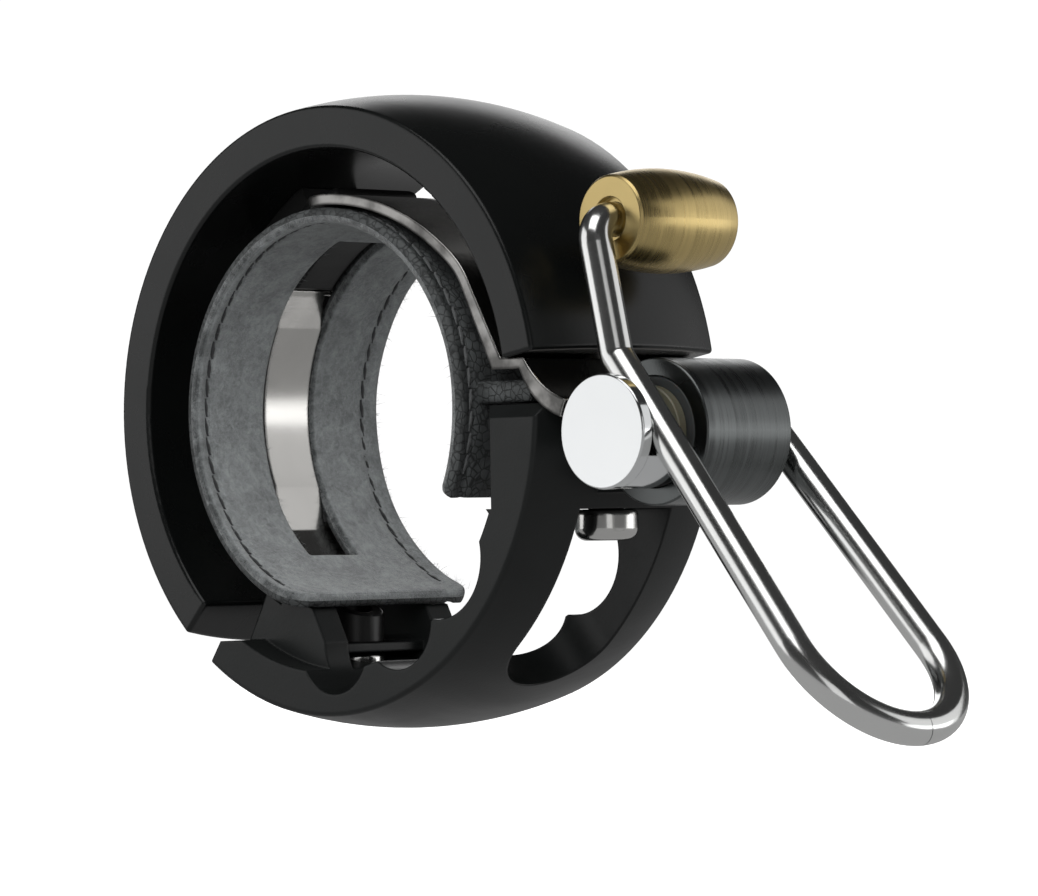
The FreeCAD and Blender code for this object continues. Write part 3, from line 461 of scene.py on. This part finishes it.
def edge_steps():
    """Distances in from a rounded edge, close together where it curves most."""
    return [EDGE_ROUND * (1 - math.cos(math.pi / 2 * i / 5)) for i in range(6)]


def graded(start, end, spacing):
    """Places from start to end, graded at both ends for the rounded edges."""
    near = edge_steps()
    flat = end - start - 2 * near[-1]
    inner = steps(start + near[-1], end - near[-1], max(2, round(flat / spacing)))
    return [start + d for d in near[:-1]] + inner + [end - d for d in reversed(near[:-1])]


def fullness(distance):
    """Share of the full thickness at a distance in from a rounded edge."""
    if distance >= EDGE_ROUND:
        return 1.0
    return math.sqrt(max(0.0, 1 - (1 - distance / EDGE_ROUND) ** 2))


def groove(side):
    """Depth of the sewn channels at a place across the strip."""
    nearest = min(abs(side - FRONT_ROW), abs(side - REAR_ROW))
    return GROOVE_DEPTH * math.exp(-((nearest / GROOVE_WIDTH) ** 2))


# ---------------------------------------------------------------- liner


def strip_point(arc, side, out):
    """Point of the strip: arc length from its start, place across, and offset from the middle."""
    angle = LINER_START + arc / LINER_MIDDLE
    radius = LINER_MIDDLE + out
    return (radius * math.cos(angle), side, radius * math.sin(angle))


def strip_grid():
    """Flat grid of the strip, with the slot left out and its corners rounded."""
    length = (LINER_END - LINER_START) * LINER_MIDDLE
    slot_low = (SLOT_START - LINER_START) * LINER_MIDDLE
    slot_high = (SLOT_END - LINER_START) * LINER_MIDDLE
    spacing = STRIP_SPACING
    arcs = (graded(0, slot_low, spacing)[:-1] + graded(slot_low, slot_high, spacing)[:-1]
            + graded(slot_high, length, spacing))
    sides = (graded(-LINER_HALF, -SLOT_HALF, spacing)[:-1]
             + graded(-SLOT_HALF, SLOT_HALF, spacing)[:-1]
             + graded(SLOT_HALF, LINER_HALF, spacing))
    return arcs, sides, length, slot_low, slot_high


def in_slot(arc, side, low, high):
    return low < arc < high and abs(side) < SLOT_HALF


def edge_distance(arc, side, length, low, high):
    """Distance to the nearest edge of the strip or of its slot."""
    outer = min(arc, length - arc, LINER_HALF - abs(side))
    past = max(low - arc, arc - high, abs(side) - SLOT_HALF, 0.0)
    if low <= arc <= high or abs(side) <= SLOT_HALF:
        hole = past
    else:
        hole = math.hypot(max(low - arc, arc - high), abs(side) - SLOT_HALF)
    return max(0.0, min(outer, hole))


def round_corner(arc, side, low, high):
    """Move a point on the slot's edge onto the arc that rounds the slot's corner."""
    end = low if abs(arc - low) < abs(arc - high) else high
    inward = 1 if end == low else -1
    along = (arc - end) * inward
    across = SLOT_HALF - abs(side)
    if along < 0 or across < 0 or max(along, across) >= SLOT_CORNER or min(along, across) > 1e-9:
        return arc, side
    turn = math.pi / 4 * (1 - max(along, across) / SLOT_CORNER)
    if across > along:
        turn = math.pi / 2 - turn
    gap_along = SLOT_CORNER * (1 - math.cos(math.pi / 2 - turn))
    gap_across = SLOT_CORNER * (1 - math.cos(turn))
    return end + inward * gap_along, math.copysign(SLOT_HALF - gap_across, side)


def narrowed(arc, side, length):
    """Place across the strip, drawn in near its ends so that its corners are round."""
    for gap, corner in ((arc, FIRST_CORNER), (length - arc, LAST_CORNER)):
        if gap < corner:
            half = LINER_HALF - corner + math.sqrt(corner ** 2 - (corner - gap) ** 2)
            return side * half / LINER_HALF
    return side


def waviness(arc, side):
    """Slow unevenness of the soft strip."""
    return WAVE_HEIGHT * (math.sin(arc / (3.1 * MM)) * math.cos(side / (2.3 * MM))
                          + math.sin(arc / (1.7 * MM) + side / (1.9 * MM)))


def liner_strip(inner_skin, outer_skin):
    """Both skins of the strip, joined round its rounded edges."""
    arcs, sides, length, low, high = strip_grid()
    points = []
    index = {}
    for i, arc in enumerate(arcs):
        for j, side in enumerate(sides):
            if in_slot(arc, side, low, high):
                continue
            full = fullness(edge_distance(arc, side, length, low, high))
            there = round_corner(arc, narrowed(arc, side, length), low, high)
            half = LINER_THICK / 2 * full
            sunk = groove(side) * full
            wave = waviness(arc, side) * full
            index[i, j, 0] = len(points)
            points.append(strip_point(*there, -half + sunk + wave))
            if full > 0:
                index[i, j, 1] = len(points)
                points.append(strip_point(*there, half - sunk))
            else:
                index[i, j, 1] = index[i, j, 0]
    inner = []
    outer = []
    for i in range(len(arcs) - 1):
        for j in range(len(sides) - 1):
            corners = [(i, j), (i + 1, j), (i + 1, j + 1), (i, j + 1)]
            middle = ((arcs[i] + arcs[i + 1]) / 2, (sides[j] + sides[j + 1]) / 2)
            if in_slot(*middle, low, high):
                continue
            inner.append([index[c[0], c[1], 0] for c in corners])
            outer.append([index[c[0], c[1], 1] for c in reversed(corners)])
    piece = mesh_object("liner_strip", points, inner + outer, inner_skin, "mount")
    piece.data.materials.append(outer_skin)
    for polygon in list(piece.data.polygons)[len(inner):]:
        polygon.material_index = 1
    return piece


def tab_slab(skin):
    """Tab over the block: two rounded tongues of folded leather joined at the strip."""
    thick = (TAB_HIGH - TAB_LOW) / 2
    level = (TAB_HIGH + TAB_LOW) / 2
    start = LINER_OUTER - TAB_ROOT
    lengths = graded(start - EDGE_ROUND, TAB_REACH, TAB_SPACING)
    lengths = sorted(lengths + [NOTCH_START - d for d in edge_steps() if NOTCH_START - d > start])
    sides = (graded(-TAB_HALF, -NOTCH_HALF, TAB_SPACING)[:-1]
             + graded(-NOTCH_HALF, NOTCH_HALF, NOTCH_SPACING)[:-1]
             + graded(NOTCH_HALF, TAB_HALF, TAB_SPACING))
    points = []
    index = {}
    for i, x in enumerate(lengths):
        for j, y in enumerate(sides):
            if x > NOTCH_START + 1e-9 and abs(y) < NOTCH_HALF - 1e-9:
                continue
            edge = min(TAB_HALF - abs(y), TAB_REACH - x)
            if abs(y) < NOTCH_HALF:
                edge = min(edge, NOTCH_START - x)
            elif x > NOTCH_START:
                edge = min(edge, abs(y) - NOTCH_HALF)
            else:
                edge = min(edge, math.hypot(NOTCH_START - x, abs(y) - NOTCH_HALF))
            half = thick * fullness(max(0.0, edge))
            for layer, sign in enumerate((-1, 1)):
                index[i, j, layer] = len(points)
                points.append((x, y, level + sign * half))
    faces = []
    for i in range(len(lengths) - 1):
        for j in range(len(sides) - 1):
            corners = [(i, j), (i + 1, j), (i + 1, j + 1), (i, j + 1)]
            for layer in (0, 1):
                if all((c[0], c[1], layer) in index for c in corners):
                    ring = corners if layer else corners[::-1]
                    faces.append([index[c[0], c[1], layer] for c in ring])
    piece = mesh_object("liner_tab", points, faces, skin, "mount")
    weld(piece)
    return piece


def weld(piece):
    """Join points that lie on each other."""
    work = bmesh.new()
    work.from_mesh(piece.data)
    bmesh.ops.remove_doubles(work, verts=work.verts, dist=WELD_REACH)
    work.to_mesh(piece.data)
    work.free()


def stitch_row(name, side, out, first, last, material):
    """Row of short twisted stitches that dip into the strip at both ends."""
    points = []
    faces = []
    around = THREAD_SIDES
    count = int((last - first) / STITCH_PITCH)
    for k in range(count):
        start = first + k * STITCH_PITCH
        for i, part in enumerate(steps(0, 1, STITCH_PARTS)):
            rise = math.sin(math.pi * part)
            swell = THREAD_RADIUS * (0.55 + 0.45 * rise)
            lean = STITCH_LEAN * (part - 0.5)
            lift = out + math.copysign(STITCH_RISE * (rise - 0.55), out)
            for a in range(around):
                turn = 2 * math.pi * a / around + part * 2.2
                twist = 1 + 0.16 * math.cos(2 * turn)
                points.append(strip_point(start + part * STITCH_LENGTH,
                                          side + lean + swell * twist * math.cos(turn),
                                          lift + swell * twist * math.sin(turn)))
            if i:
                base = len(points) - 2 * around
                for a in range(around):
                    b = (a + 1) % around
                    faces.append([base + a, base + b, base + around + b, base + around + a])
        base = len(points) - (STITCH_PARTS + 1) * around
        faces.append(list(range(base, base + around))[::-1])
        faces.append(list(range(len(points) - around, len(points))))
    return mesh_object(name, points, faces, material, "mount")


def stitching():
    """Two rows on each skin, black on the suede and grey on the leather."""
    inner_thread = thread("thread_black", (0.006, 0.006, 0.007), (0.04, 0.042, 0.044))
    outer_thread = thread("thread_grey", (0.03, 0.032, 0.033), (0.13, 0.135, 0.137))
    length = (LINER_END - LINER_START) * LINER_MIDDLE
    inner = -LINER_THICK / 2 + GROOVE_DEPTH
    outer = LINER_THICK / 2 - GROOVE_DEPTH
    rows = []
    for name, side in (("front", FRONT_ROW), ("rear", REAR_ROW)):
        for skin, out, sewn in (("inner", inner, inner_thread), ("outer", outer, outer_thread)):
            label = f"stitches_{name}_{skin}"
            rows.append(stitch_row(label, side, out, FIRST_STITCH, length - LAST_STITCH, sewn))
    return rows


def fuzz(material):
    """Loose fibres of the suede, thickest along its cut edges."""
    dice = random.Random(7)
    length = (LINER_END - LINER_START) * LINER_MIDDLE
    slot_low = (SLOT_START - LINER_START) * LINER_MIDDLE
    slot_high = (SLOT_END - LINER_START) * LINER_MIDDLE
    points = []
    faces = []

    def fibre(arc, side, out, drift, reach):
        """Thin tapering strand that bends more towards its tip."""
        bend = [dice.uniform(-0.5, 0.5) * reach for _ in range(3)]
        width = dice.uniform(0.012, 0.022) * MM
        base = len(points)
        for part in steps(0, 1, FIBRE_PARTS):
            hold = part * part
            middle = (arc + drift[0] * reach * part + bend[0] * hold,
                      side + drift[1] * reach * part + bend[1] * hold,
                      out + drift[2] * reach * part + bend[2] * hold * 0.4)
            thin = width * (1 - 0.8 * part)
            points.append(strip_point(middle[0] - thin, middle[1], middle[2]))
            points.append(strip_point(middle[0] + thin, middle[1], middle[2]))
            points.append(strip_point(middle[0], middle[1], middle[2] + 1.6 * thin))
        for i in range(FIBRE_PARTS):
            a = base + 3 * i
            for j in range(3):
                k = (j + 1) % 3
                faces.append([a + j, a + k, a + 3 + k, a + 3 + j])

    inner = -LINER_THICK / 2
    for _ in range(SKIN_FIBRES):
        arc = dice.uniform(0.3 * MM, length - 0.3 * MM)
        side = dice.uniform(-LINER_HALF + 0.3 * MM, LINER_HALF - 0.3 * MM)
        if in_slot(arc, side, slot_low, slot_high):
            continue
        drift = (dice.uniform(-0.8, 0.8), dice.uniform(-0.8, 0.8), -dice.uniform(0.05, 0.35))
        fibre(arc, side, inner + 0.03 * MM, drift, dice.uniform(0.2, 0.6) * MM)
    for _ in range(EDGE_FIBRES):
        arc = dice.uniform(0.5 * MM, length - 0.5 * MM)
        rear = dice.random() < 0.8
        side = LINER_HALF - 0.2 * MM if rear else -LINER_HALF + 0.2 * MM
        drift = (dice.uniform(-0.6, 0.6),
                 math.copysign(dice.uniform(0.0, 0.35), side),
                 -dice.uniform(0.3, 1.0))
        fibre(arc, side, inner + 0.2 * MM, drift, dice.uniform(0.3, 0.9) * MM)
    for _ in range(SLOT_FIBRES):
        arc = dice.uniform(slot_low, slot_high)
        side = dice.choice((-1, 1)) * SLOT_HALF
        drift = (dice.uniform(-0.7, 0.7),
                 -math.copysign(dice.uniform(0.2, 0.9), side),
                 -dice.uniform(0.0, 0.5))
        fibre(arc, side, inner + 0.3 * MM, drift, dice.uniform(0.25, 0.7) * MM)
    return mesh_object("liner_fibres", points, faces, material, "mount")


def build_liner():
    """Modelled leather and suede in place of the liner's plain solid."""
    inner_skin = suede()
    outer_skin = leather()
    strip = liner_strip(inner_skin, outer_skin)
    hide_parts("liner")
    pieces = [strip, tab_slab(outer_skin), fuzz(inner_skin)] + stitching()


# ---------------------------------------------------------------- stage


def glowing(name, strength):
    """Plain white emission."""
    material = bpy.data.materials.new(name)
    material.use_nodes = True
    tree = material.node_tree
    tree.nodes.clear()
    glow = add(tree, "Emission", {"Color": (1, 1, 1, 1), "Strength": strength})
    output = tree.nodes.new("ShaderNodeOutputMaterial")
    tree.links.new(glow.outputs[0], output.inputs["Surface"])
    return material


def level_sheet(name, half, level, material):
    corners = [(x * half, y * half, level) for x, y in ((-1, -1), (1, -1), (1, 1), (-1, 1))]
    mesh = bpy.data.meshes.new(name)
    mesh.from_pydata(corners, [], [(0, 1, 2, 3)])
    sheet = bpy.data.objects.new(name, mesh)
    bpy.context.scene.collection.objects.link(sheet)
    mesh.materials.append(material)
    return sheet


def only_for_camera(piece):
    piece.visible_diffuse = False
    piece.visible_glossy = False
    piece.visible_transmission = False
    piece.visible_shadow = False


def floor():
    """White paper floor, and a dimmer sheet below it that stands for it in reflections."""
    material, tree, shader = new_material("floor_paper")
    fibres = noise(tree, place(tree), 220, 5)
    wire_up(tree, shader,
            Base_Color=blend_colours(tree, fibres, (0.90, 0.90, 0.90), (0.93, 0.93, 0.93)),
            Roughness=remap(tree, fibres, 0.3, 0.7, 0.85, 0.95),
            Emission_Color=(1, 1, 1, 1), Emission_Strength=1.0)
    level = cad_low.z - FLOOR_DROP
    paper = level_sheet("floor", FLOOR_HALF, level, material)
    only_for_camera(paper)
    grey = glowing("bounce_grey", 0.36)
    bounce = level_sheet("floor_bounce", FLOOR_HALF, level - BOUNCE_DROP, grey)
    bounce.visible_camera = False

def backdrop():
    """White shell that only the camera sees, so the metal reflects the studio, not it."""
    bpy.ops.mesh.primitive_uv_sphere_add(segments=48, ring_count=24, radius=SHELL_RADIUS)
    shell = bpy.context.object
    shell.name = "backdrop"
    shell.data.materials.append(glowing("backdrop_white", 1.05))
    only_for_camera(shell)


def softbox(name, place_at, aim, width, height, radiance, glossy=True):
    """White panel that lights the bell; only the glossy ones show in its polish."""
    light = bpy.data.lights.new(name, "AREA")
    light.shape = "RECTANGLE"
    light.size = width
    light.size_y = height
    light.energy = radiance * math.pi * width * height
    lamp = bpy.data.objects.new(name, light)
    lamp.location = place_at
    lamp.rotation_euler = (Vector(aim) - Vector(place_at)).to_track_quat("-Z", "Y").to_euler()
    lamp.visible_camera = False
    lamp.visible_glossy = glossy
    bpy.context.scene.collection.objects.link(lamp)


def studio_light():
    """Dim room with white panels round the bell; the fill lights only matt faces."""
    world = bpy.data.worlds.new("studio")
    bpy.context.scene.world = world
    world.use_nodes = True
    tree = world.node_tree
    direction = add(tree, "TexCoord").outputs["Generated"]
    height = add(tree, "SeparateXYZ", {0: direction}).outputs["Z"]
    ramp = add(tree, "ValToRGB", {"Fac": remap(tree, height, -1, 1, 0, 1)})
    ramp.color_ramp.elements[0].color = (0.50, 0.50, 0.50, 1)
    ramp.color_ramp.elements[1].color = (0.04, 0.04, 0.04, 1)
    for at, tone in ((0.42, 0.42), (0.50, 0.10), (0.62, 0.04), (0.80, 0.035)):
        stop = ramp.color_ramp.elements.new(at)
        stop.color = (tone, tone, tone, 1)
    tree.links.new(ramp.outputs["Color"], tree.nodes["Background"].inputs["Color"])
    tree.nodes["Background"].inputs["Strength"].default_value = 1.0
    middle = (0.01, 0, 0)
    softbox("front_left", (-0.60, -0.60, 0.10), middle, 0.7, 0.8, 0.98)
    softbox("overhead", (0.10, -0.35, 0.70), middle, 0.6, 0.5, 1.8)
    softbox("right_back", (0.50, 0.72, 0.24), middle, 0.8, 0.6, 0.75)
    softbox("low_right", (0.33, 0.32, -0.01), middle, 0.35, 0.10, 1.15)
    softbox("back_left", (-0.62, 0.62, 0.28), middle, 0.6, 0.45, 1.3)
    softbox("camera_side", (0.75, -0.45, 0.10), middle, 0.4, 0.5, 0.7)
    softbox("fill", (0.35, -0.70, 0.35), middle, 0.6, 0.6, 4.6, False)


# ---------------------------------------------------------------- camera


CAMERA_PLACE = Vector((318.1, -301.35, -10.3)) * MM
CAMERA_YAW = math.radians(45.36)
CAMERA_PITCH = math.radians(0.915)
CAMERA_ROLL = math.radians(-0.995)
CAMERA_LENS = 176.6


def aim_camera():
    """Long lens in front of the bell, to its right."""
    ahead = Vector((-math.sin(CAMERA_YAW) * math.cos(CAMERA_PITCH),
                    math.cos(CAMERA_YAW) * math.cos(CAMERA_PITCH),
                    math.sin(CAMERA_PITCH)))
    level = ahead.cross(Vector((0, 0, 1))).normalized()
    above = level.cross(ahead)
    right = level * math.cos(CAMERA_ROLL) + above * math.sin(CAMERA_ROLL)
    up = above * math.cos(CAMERA_ROLL) - level * math.sin(CAMERA_ROLL)
    lens = bpy.data.cameras.new("camera")
    lens.lens = CAMERA_LENS
    lens.sensor_width = 36
    lens.clip_start = 0.01
    lens.clip_end = 20
    camera = bpy.data.objects.new("camera", lens)
    turn = Matrix((right, up, -ahead)).transposed().to_4x4()
    camera.matrix_world = Matrix.Translation(CAMERA_PLACE) @ turn
    bpy.context.scene.collection.objects.link(camera)
    bpy.context.scene.camera = camera


paint_nodes()
build_liner()
floor()
backdrop()
studio_light()
aim_camera()
bpy.context.scene.view_settings.view_transform = "Standard"
